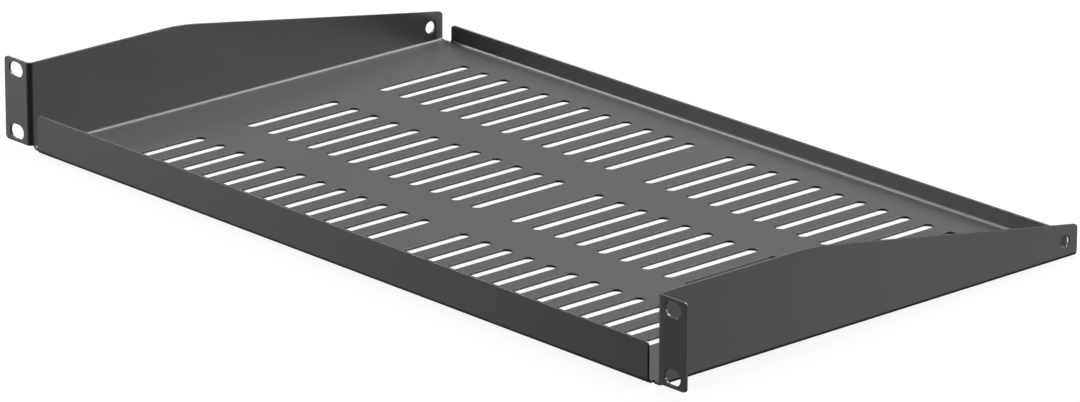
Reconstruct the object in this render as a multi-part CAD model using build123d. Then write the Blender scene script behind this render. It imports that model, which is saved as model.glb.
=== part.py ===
from build123d import *
import os

# Rack shelf: one steel sheet, cut, punched and folded.
# Frame in mm: X across the rack, Y to the rear, Z up.
# Origin at the middle of the four ear holes, on the front face of the ears.

# Sheet and its folds
sheet = 1.2                 # thickness of the steel
bend_radius = 1.3           # inside radius of every fold
relief_width = 1.2          # notch beside each end of a lip
relief_depth = 1.0          # how far a notch runs past the fold

# Ears that bolt to the rack
panel_width = 482.6         # tip to tip
ear_height = 42.2
ear_rise = 2.3              # ear's lower edge above the underside
ear_corner = 2.2
ear_reach = 17.8            # beyond the walls, on each side
hole_inset_x = 8.75         # ear's tip to the middle of its holes
hole_inset_z = 5.225        # ear's upper and lower edge to the middle of a hole
ear_hole_width = 7.5
ear_hole_length = 10.4

# Pan and side walls
depth = 269.1               # ears' front face to the rear lip's rear face
wall_level = 95.5           # from the front to where the walls start to fall
wall_blend = 130.0          # radius between the level and the sloping edge
wall_rear_height = 15.7     # over the underside, at the rear edge
wall_corner = 2.3
front_setback = 2.8         # front face to the pan's free front corners
rear_setback = 1.4          # rear face to the walls' rear edge

# Lips
front_lip_height = 19.8
rear_lip_height = 9.9
front_lip_gap = 5.7         # lip's end to the wall's inner face
rear_lip_gap = 6.3
front_lip_corner = 2.5
rear_lip_corner = 2.0

# Vent slots, in rows of two mirrored blocks
slot_width = 6.0
slot_length = 58.3
slot_pitch = 15.04
slot_centre_offset = 14.0   # middle of the pan to the first slot on each side
slot_side_margin = 36.0     # least distance from a wall to a slot's middle
slot_row_gap = 27.8
slot_front_margin = 16.0    # front face to the first row
slot_rear_margin = 15.0     # least distance from the last row to the rear face

# Cable-tie hole near the rear of each wall
tie_hole_diameter = 6.4
tie_hole_inset = 8.2        # from the wall's rear edge
tie_hole_rise = 8.9         # above the underside

# Worked out from the sizes above
bend_outside = bend_radius + sheet
hole_spacing_x = panel_width - 2 * hole_inset_x
hole_spacing_z = ear_height - 2 * hole_inset_z
body_width = panel_width - 2 * ear_reach
top = ear_height / 2
ear_foot = -top
underside = ear_foot - ear_rise
floor = underside + sheet
wall_outer = body_width / 2
wall_inner = wall_outer - sheet
wall_rear = depth - rear_setback
front_lip_half = wall_inner - front_lip_gap
rear_lip_half = wall_inner - rear_lip_gap
reach = panel_width         # longer than any cut needs


def folded_strip(inside_path, side):
    """Section of a folded sheet, from the path of the inside of its folds."""
    path = FilletPolyline(*inside_path, radius=bend_radius)
    edge = offset(path, amount=sheet, side=side, kind=Kind.ARC, closed=True)
    return make_face(edge.edges())


def box_between(low, high):
    """Block between two opposite corners."""
    size = [b - a for a, b in zip(low, high)]
    middle = [(a + b) / 2 for a, b in zip(low, high)]
    return Pos(*middle) * Box(*size)


def trough():
    """Pan with its two side walls, folded up along both sides."""
    path = [(-wall_inner, top), (-wall_inner, floor), (wall_inner, floor), (wall_inner, top)]
    section = folded_strip(path, Side.RIGHT)
    length = wall_rear - bend_outside
    return Pos(0, wall_rear, 0) * extrude(Plane.XZ * section, length)


def wall_outline():
    """Side view of the walls: level at the front, then falling to the rear."""
    rear_top = underside + wall_rear_height
    edge = FilletPolyline(
        (0, top), (wall_level, top), (wall_rear, rear_top), (wall_rear, underside),
        radius=[wall_blend, wall_corner],
    )
    closing = Polyline((wall_rear, underside), (0, underside), (0, top))
    face = make_face(edge.edges() + closing.edges())
    return Pos(-reach / 2, 0, 0) * extrude(Plane.YZ * face, reach)


def front_corner_cut():
    """Clears the folds of the pan in front of its free front corners."""
    return box_between((-reach, 0, underside), (reach, front_setback, ear_foot))


def lip_clearance(half_width, y_edge, y_fold):
    """Room in the pan for a lip's fold and the notches beside it."""
    half = half_width + relief_width
    return box_between((-half, min(y_edge, y_fold), underside), (half, max(y_edge, y_fold), floor))


def lip(half_width, y_face, y_root, height, corner):
    """Strip of the pan folded up at its edge, with rounded upper corners."""
    inward = 1 if y_root > y_face else -1
    y_inner = y_face + inward * sheet
    lip_top = underside + height
    path = [(y_root, floor), (y_inner, floor), (y_inner, lip_top)]
    section = folded_strip(path, Side.LEFT if inward > 0 else Side.RIGHT)
    strip = Pos(-half_width, 0, 0) * extrude(Plane.YZ * section, 2 * half_width)
    ends = strip.edges().filter_by(Axis.Y).group_by(Axis.Z)[-1]
    return fillet(ends, corner)


def ear():
    """Right-hand ear, folded out from the wall's front edge."""
    tip = panel_width / 2
    path = [(wall_outer, front_setback), (wall_outer, sheet), (tip, sheet)]
    section = folded_strip(path, Side.RIGHT)
    plate = Pos(0, 0, ear_foot) * extrude(Plane.XY * section, ear_height)
    corners = plate.edges().filter_by(Axis.Y).group_by(Axis.X)[-1]
    return fillet(corners, ear_corner)


def ear_holes():
    """Four horizontal slots for the rack's screws."""
    slot = SlotOverall(ear_hole_length, ear_hole_width)
    places = GridLocations(hole_spacing_x, hole_spacing_z, 2, 2)
    sketch = Sketch() + [place * slot for place in places]
    return extrude(Plane.XZ * sketch, sheet, both=True)


def vent_slots():
    """Rows of slots that run from front to rear."""
    room_x = wall_inner - slot_side_margin - slot_centre_offset
    per_side = int(room_x / slot_pitch) + 1
    row_pitch = slot_length + slot_row_gap
    room_y = depth - slot_front_margin - slot_rear_margin + slot_row_gap
    rows = int(room_y / row_pitch)
    slot = Rot(0, 0, 90) * SlotOverall(slot_length, slot_width)
    places = []
    for row in range(rows):
        y = slot_front_margin + slot_length / 2 + row * row_pitch
        for step in range(per_side):
            x = slot_centre_offset + step * slot_pitch
            places += [Pos(x, y), Pos(-x, y)]
    sketch = Sketch() + [place * slot for place in places]
    return Pos(0, 0, floor) * extrude(sketch, sheet, both=True)


def tie_holes():
    """One round hole through both walls, close to their rear edge."""
    place = Pos(0, wall_rear - tie_hole_inset, underside + tie_hole_rise)
    return place * Rot(0, 90, 0) * Cylinder(tie_hole_diameter / 2, body_width + sheet)


def shelf():
    """The whole folded sheet."""
    front_fold = bend_outside + relief_depth
    rear_fold = depth - bend_outside - relief_depth
    body = trough() & wall_outline()
    body -= front_corner_cut()
    body -= lip_clearance(front_lip_half, 0, front_fold)
    body -= lip_clearance(rear_lip_half, depth, rear_fold)
    body += lip(front_lip_half, 0, front_fold, front_lip_height, front_lip_corner)
    body += lip(rear_lip_half, depth, rear_fold, rear_lip_height, rear_lip_corner)
    right_ear = ear()
    body += right_ear + mirror(right_ear, Plane.YZ)
    body -= ear_holes() + vent_slots() + tie_holes()
    return body.clean()


os.makedirs("parts", exist_ok=True)
part = shelf()
export_step(part, "parts/shelf.step")
box = part.bounding_box()
print("shelf", len(part.solids()), "solid,", round(part.volume, 1), "cubic mm")
print("from", tuple(box.min), "to", tuple(box.max))
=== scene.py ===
# %% [markdown]
# # A rack shelf in black powder coat
# The shelf is one steel sheet, laser cut, punched and folded on a press brake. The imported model
# already holds that sheet at its real size, so this lesson doesn't draw it again. It softens the
# cut edges as a coat of powder does, gives the sheet its finish, and sets up a white studio with
# the camera of the photograph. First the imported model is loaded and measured, so that everything
# after it can be set against the real size.

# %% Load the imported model
import bpy
import math
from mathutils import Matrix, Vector


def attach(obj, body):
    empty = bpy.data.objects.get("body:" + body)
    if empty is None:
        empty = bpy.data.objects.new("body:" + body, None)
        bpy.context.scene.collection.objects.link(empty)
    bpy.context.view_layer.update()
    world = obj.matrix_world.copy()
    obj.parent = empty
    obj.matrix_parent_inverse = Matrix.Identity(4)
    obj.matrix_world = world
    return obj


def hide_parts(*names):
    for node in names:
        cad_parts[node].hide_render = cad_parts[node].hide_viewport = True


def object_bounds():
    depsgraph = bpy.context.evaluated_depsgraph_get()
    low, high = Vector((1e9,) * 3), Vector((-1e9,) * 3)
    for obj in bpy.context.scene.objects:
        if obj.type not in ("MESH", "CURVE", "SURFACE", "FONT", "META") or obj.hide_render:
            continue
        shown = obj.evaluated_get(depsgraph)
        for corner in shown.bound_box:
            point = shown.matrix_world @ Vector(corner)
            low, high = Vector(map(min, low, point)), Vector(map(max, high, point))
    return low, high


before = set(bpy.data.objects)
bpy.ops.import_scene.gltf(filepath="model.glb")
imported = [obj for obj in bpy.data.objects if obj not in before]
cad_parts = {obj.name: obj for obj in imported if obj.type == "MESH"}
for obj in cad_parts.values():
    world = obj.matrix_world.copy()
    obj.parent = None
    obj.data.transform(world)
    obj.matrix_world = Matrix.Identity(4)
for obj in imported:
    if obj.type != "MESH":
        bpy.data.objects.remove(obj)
cad_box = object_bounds()
MM = 0.001
print("nodes", sorted(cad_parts))
print("size in mm", [round((high - low) / MM, 1) for low, high in zip(*cad_box)])

# %% [markdown]
# ## One clean sheet
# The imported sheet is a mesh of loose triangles, good for showing a shape but not for working on
# it. The whole sheet could be modelled again from planes and extrusions, but then its folds and
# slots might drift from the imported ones. A copy of it keeps every measure: its doubled corners
# are merged, and triangles that lie in one plane become one face, so that only real edges stay.

# %% Copy the sheet and join its triangles
JOIN_DISTANCE = 0.001 * MM
FLAT_ANGLE = math.radians(0.5)


def only(piece):
    """Makes one object the selected and active one."""
    bpy.ops.object.select_all(action="DESELECT")
    piece.select_set(True)
    bpy.context.view_layer.objects.active = piece


only(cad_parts["shelf"])
bpy.ops.object.duplicate()
sheet = bpy.context.active_object
sheet.name = "coated_sheet"
bpy.ops.object.mode_set(mode="EDIT")
bpy.ops.mesh.select_all(action="SELECT")
bpy.ops.mesh.customdata_custom_splitnormals_clear()
bpy.ops.mesh.remove_doubles(threshold=JOIN_DISTANCE)
bpy.ops.mesh.dissolve_limited(angle_limit=FLAT_ANGLE)
bpy.ops.object.mode_set(mode="OBJECT")
print("joined sheet:", len(sheet.data.vertices), "vertices,", len(sheet.data.polygons), "faces")

# %% [markdown]
# ## Soft rims
# A laser leaves a square edge, and powder flows round it as it melts, so each rim of the finished
# shelf is a little round and draws a fine line of light. A shader can fake that, but a real bevel
# is also there from every other side. Only edges sharper than the folds'
# facets get it. Weighted normals then keep the large faces flat, so that the shading turns in the
# rims and folds alone.

# %% Round the rims under the coat
RIM_RADIUS = 0.12 * MM
RIM_ANGLE = math.radians(40)
RIM_STEPS = 2
FLATNESS = 50               # how strongly the large faces hold their own shading


def apply_modifier(piece, kind, **settings):
    """Adds a modifier with its settings and applies it."""
    only(piece)
    modifier = piece.modifiers.new(kind.lower(), kind)
    for name, value in settings.items():
        setattr(modifier, name, value)
    bpy.ops.object.modifier_apply(modifier=modifier.name)


apply_modifier(
    sheet, "BEVEL", width=RIM_RADIUS, segments=RIM_STEPS, limit_method="ANGLE",
    angle_limit=RIM_ANGLE, use_clamp_overlap=False,
)
bpy.ops.object.shade_smooth()
apply_modifier(sheet, "WEIGHTED_NORMAL", mode="FACE_AREA", weight=FLATNESS)
print("rounded sheet:", len(sheet.data.polygons), "faces")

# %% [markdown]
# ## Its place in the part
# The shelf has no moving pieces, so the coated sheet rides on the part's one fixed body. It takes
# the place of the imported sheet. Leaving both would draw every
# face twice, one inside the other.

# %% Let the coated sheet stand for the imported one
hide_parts("shelf")
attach(sheet, "root")
print(sheet.name, "stands for the packed sheet")

# %% [markdown]
# ## Colour and node helpers
# Paint colours are easiest to read and to compare as sRGB hex values, but shaders reckon in linear
# light, so one function turns the first into the second. Materials are built from nodes, and one
# more function adds a node, sets it and links it, which keeps each material short enough to read
# from its pattern to its surface.

# %% Helpers for colours and nodes
def linear(hex_colour):
    """Turns an sRGB hex colour into the linear values that shaders use."""
    parts = [int(hex_colour[i:i + 2], 16) / 255 for i in (1, 3, 5)]
    return [c / 12.92 if c <= 0.04045 else ((c + 0.055) / 1.055) ** 2.4 for c in parts] + [1.0]


def add_node(tree, kind, links=None, **settings):
    """Adds a node, sets its properties and inputs, and links the inputs that are named."""
    node = tree.nodes.new(kind)
    for name, value in settings.items():
        if hasattr(node, name):
            setattr(node, name, value)
        else:
            node.inputs[name.replace("_", " ")].default_value = value
    for name, source in (links or {}).items():
        tree.links.new(source, node.inputs[name])
    return node


print("white in linear values:", linear("#ffffff"))

# %% [markdown]
# ## Black powder coat
# Polyester powder is sprayed on dry and baked at about 190 degrees. It melts into a hard plastic
# skin, charcoal to black, with a satin sheen and a very fine grain. It could be a flat colour with
# one roughness, but then large faces look like printed card. So two patterns, sized in
# millimetres, carry the finish: a fine grain that bends the surface, and broad soft patches where
# the skin came out a little thicker and glossier. Being a resin, it isn't metallic and has an
# index of refraction of 1.5.

# %% The powder coat
COAT_COLOUR = "#484849"
COAT_IOR = 1.5
SATIN = (0.24, 0.27)        # roughness of the glossiest and the dullest patches
GRAIN_SIZE = 0.5 * MM       # the real grain is nearer 0.2 mm, too fine for a pixel to show
GRAIN_HEIGHT = 0.008 * MM
GRAIN_LAYERS = 2.0          # finer grains laid over the first
GRAIN_FADE = 0.6            # what each finer layer keeps of the strength
GRAIN_SHARE = 0.25          # how much of the grain's height bends the surface
PATCH_SIZE = 60 * MM
PATCH_LAYERS = 1.0


def powder_coat():
    """Baked polyester powder: dark, satin and finely grained, so lamps show in it as soft glows."""
    material = bpy.data.materials.new("black satin powder coat")
    material.use_nodes = True
    tree = material.node_tree
    tree.nodes.clear()
    place = add_node(tree, "ShaderNodeTexCoord").outputs["Object"]
    grain = add_node(
        tree, "ShaderNodeTexNoise", {"Vector": place},
        Scale=1 / GRAIN_SIZE, Detail=GRAIN_LAYERS, Roughness=GRAIN_FADE,
    ).outputs["Fac"]
    bump = add_node(
        tree, "ShaderNodeBump", {"Height": grain}, Strength=GRAIN_SHARE, Distance=GRAIN_HEIGHT,
    ).outputs["Normal"]
    patch = add_node(
        tree, "ShaderNodeTexNoise", {"Vector": place}, Scale=1 / PATCH_SIZE, Detail=PATCH_LAYERS,
    ).outputs["Fac"]
    rough = add_node(
        tree, "ShaderNodeMapRange", {"Value": patch}, To_Min=SATIN[0], To_Max=SATIN[1],
    ).outputs["Result"]
    shader = add_node(
        tree, "ShaderNodeBsdfPrincipled", {"Roughness": rough, "Normal": bump},
        Base_Color=linear(COAT_COLOUR), Metallic=0.0, IOR=COAT_IOR,
    )
    add_node(tree, "ShaderNodeOutputMaterial", {"Surface": shader.outputs["BSDF"]})
    return material


sheet.data.materials.clear()
sheet.data.materials.append(powder_coat())
print("finish:", sheet.data.materials[0].name)

# %% [markdown]
# ## The floor
# In the studio the shelf rests on white paper. Lighting paper until it is pure white would also
# flood the dark coat, so the paper is white of itself to the camera, and a small share of it is
# plain matt paper that takes the lamps and keeps the shelf's faint shadow. The coat mirrors no
# bright floor in the photograph, and its sides are lit from low down as well. So here the paper
# isn't seen in reflections, sends no light up and lets the light of the low lamps through. It
# lies a hair under the sheet, because two faces in one plane flicker, and it is clear from
# below, so that the underside can be looked at too.

# %% White paper under the shelf
FLOOR_SIZE = 6.0
FLOOR_GAP = 0.2 * MM
FLOOR_COLOUR = "#ececec"
SHADOW_SHARE = 0.10         # the part of the paper's white that the lamps have to give

bpy.ops.object.select_all(action="DESELECT")
bpy.ops.mesh.primitive_plane_add(size=FLOOR_SIZE, location=(0, 0, cad_box[0][2] - FLOOR_GAP))
floor = bpy.context.active_object
floor.name = "studio_floor"
bpy.ops.object.transform_apply(location=True, rotation=True, scale=True)


def studio_paper():
    """Matt white paper: white to the camera with a faint shadow, and clear from below."""
    material = bpy.data.materials.new("white studio paper")
    material.use_nodes = True
    tree = material.node_tree
    tree.nodes.clear()
    paper = add_node(tree, "ShaderNodeBsdfDiffuse", Color=linear(FLOOR_COLOUR)).outputs["BSDF"]
    white = add_node(tree, "ShaderNodeEmission", Strength=1.0).outputs["Emission"]
    eye = add_node(tree, "ShaderNodeLightPath").outputs["Is Camera Ray"]
    share = add_node(tree, "ShaderNodeMapRange", {"Value": eye}, To_Max=1 - SHADOW_SHARE)
    lit = add_node(
        tree, "ShaderNodeMixShader", {0: share.outputs["Result"], 1: paper, 2: white},
    ).outputs["Shader"]
    below = add_node(tree, "ShaderNodeNewGeometry").outputs["Backfacing"]
    clear = add_node(tree, "ShaderNodeBsdfTransparent").outputs["BSDF"]
    one_sided = add_node(
        tree, "ShaderNodeMixShader", {0: below, 1: lit, 2: clear},
    ).outputs["Shader"]
    add_node(tree, "ShaderNodeOutputMaterial", {"Surface": one_sided})
    return material


floor.data.materials.append(studio_paper())
floor.visible_diffuse = False
floor.visible_glossy = False
floor.visible_shadow = False
print("floor at", round(floor.data.vertices[0].co.z / MM, 1), "mm")

# %% [markdown]
# ## The backdrop
# Behind the floor the camera sees the world. The fold beside the left ear faces the camera and is
# almost black, so the room behind the camera is dark, although the picture is white all round. One
# even white sky can't do both. So the world is pure white where the camera looks at it, straight
# on or through something clear, a dark grey room in the coat's reflections, and next to nothing
# as a light.

# %% White behind the shelf, a dark room round it
AMBIENT = 0.02              # the room's light on the shelf
ROOM_IN_GLOSS = 0.065       # the room's grey in the coat's reflections


def studio_world():
    """White to the camera, a dark room in reflections and faint as a light."""
    world = bpy.data.worlds.new("studio")
    bpy.context.scene.world = world
    world.use_nodes = True
    tree = world.node_tree
    tree.nodes.clear()
    path = add_node(tree, "ShaderNodeLightPath").outputs
    room = add_node(
        tree, "ShaderNodeMapRange", {"Value": path["Is Glossy Ray"]},
        To_Min=AMBIENT, To_Max=ROOM_IN_GLOSS,
    ).outputs["Result"]
    seen = add_node(
        tree, "ShaderNodeMath", {0: path["Is Camera Ray"], 1: path["Is Transmission Ray"]},
        operation="MAXIMUM",
    ).outputs[0]
    level = add_node(
        tree, "ShaderNodeMath", {0: room, 1: seen}, operation="MAXIMUM",
    ).outputs[0]
    back = add_node(tree, "ShaderNodeBackground", {"Strength": level}, Color=linear("#ffffff"))
    add_node(tree, "ShaderNodeOutputWorld", {"Surface": back.outputs["Background"]})
    return world


print("world:", studio_world().name)

# %% [markdown]
# ## Soft lamps
# A satin face is bright where it mirrors a lamp and dull where it mirrors the room, so the grey
# of each face tells where the photographer's lamps stood. Each lamp here is a round soft one, all
# of one size and at one distance, and its level is the brightness of its surface. That leaves
# only two angles and a level to find for each, where a few large lamps of odd shapes would be
# harder to match. Azimuth is measured round the shelf, from 0 in front to 90 on its right.

# %% A soft lamp on the studio's dome
LAMP_DISTANCE = 1.6
LAMP_SIZE = 0.7
LAMP_AIM = Vector((0, 0.13, 0))
lamps = []                  # every lamp hung so far


def soft_lamp(name, azimuth, elevation, level):
    """A round soft lamp aimed at the middle of the shelf."""
    turn, tilt = math.radians(azimuth), math.radians(elevation)
    toward = Vector((
        math.sin(turn) * math.cos(tilt), -math.cos(turn) * math.cos(tilt), math.sin(tilt),
    ))
    light = bpy.data.lights.new(name, "AREA")
    light.shape = "DISK"
    light.size = LAMP_SIZE
    area = math.pi * LAMP_SIZE ** 2 / 4
    light.energy = level * math.pi * area
    lamp = bpy.data.objects.new(name, light)
    lamp.location = LAMP_AIM + toward * LAMP_DISTANCE
    lamp.rotation_euler = toward.to_track_quat("Z", "Y").to_euler()
    bpy.context.scene.collection.objects.link(lamp)
    lamps.append(lamp)


print("a lamp is", round(math.degrees(2 * math.atan(LAMP_SIZE / 2 / LAMP_DISTANCE))), "degrees wide")

# %% [markdown]
# ## Lighting the shelf
# Three high lamps draw the bright lines in the pan's folds and along the rims. A top lamp spreads
# an even grey over the pan, and weaker ones at the right rear and the left front do the same for
# the walls, the lips and the ears. The last of each group hangs low, just where the camera sees
# it mirrored in the upright faces, and the dimmest lamp is the one mirrored in the pan. One
# strong lamp would light the shelf too, but with hard contrasts and no lines in the folds.

# %% Hang the lamps
soft_lamp("high_rear", 182, 50, 11.0)
soft_lamp("high_rear_right", 163, 47, 8.5)
soft_lamp("high_left", 282, 43, 13.0)
soft_lamp("top", 225, 74, 12.6)
soft_lamp("right_rear", 132, 22, 7.3)
soft_lamp("right_rear_low", 132, -19, 1.3)
soft_lamp("front_left", 322, 12, 5.4)
soft_lamp("left_front", 300, 15, 2.6)
soft_lamp("left_front_level", 310, 0, 2.4)
soft_lamp("left_front_low", 310, -19, 0.7)
soft_lamp("rear_left", 227, 26, 0.29)
print(len(lamps), "lamps,", round(sum(lamp.data.energy for lamp in lamps), 1), "W in all")

# %% [markdown]
# ## Camera
# A camera could be moved by eye until the picture fits, but a long lens hides errors of distance.
# Here the shelf's straight edges and the rack's hole spacing give the place, the turn and the
# lens together: over three metres away, to the front right, looking down by 19 degrees, with a
# trace of roll. The view transform stays plain, so that a colour shows as it is written.

# %% The camera
CAMERA_PLACE = (2.3925, -2.0484, 1.0784)
CAMERA_TURN = (71.218, -0.186, 47.711)
LENS = 239.4
SENSOR = 36.0               # mm, as the lens
FARTHEST = 20.0

lens = bpy.data.cameras.new("photo_camera")
lens.lens = LENS
lens.sensor_width = SENSOR
lens.clip_end = FARTHEST
camera = bpy.data.objects.new("photo_camera", lens)
camera.location = CAMERA_PLACE
camera.rotation_euler = [math.radians(angle) for angle in CAMERA_TURN]
bpy.context.scene.collection.objects.link(camera)
bpy.context.scene.camera = camera
bpy.context.scene.view_settings.view_transform = "Standard"
print("camera", round(camera.location.length, 2), "m away, down by", round(90 - CAMERA_TURN[0], 1))
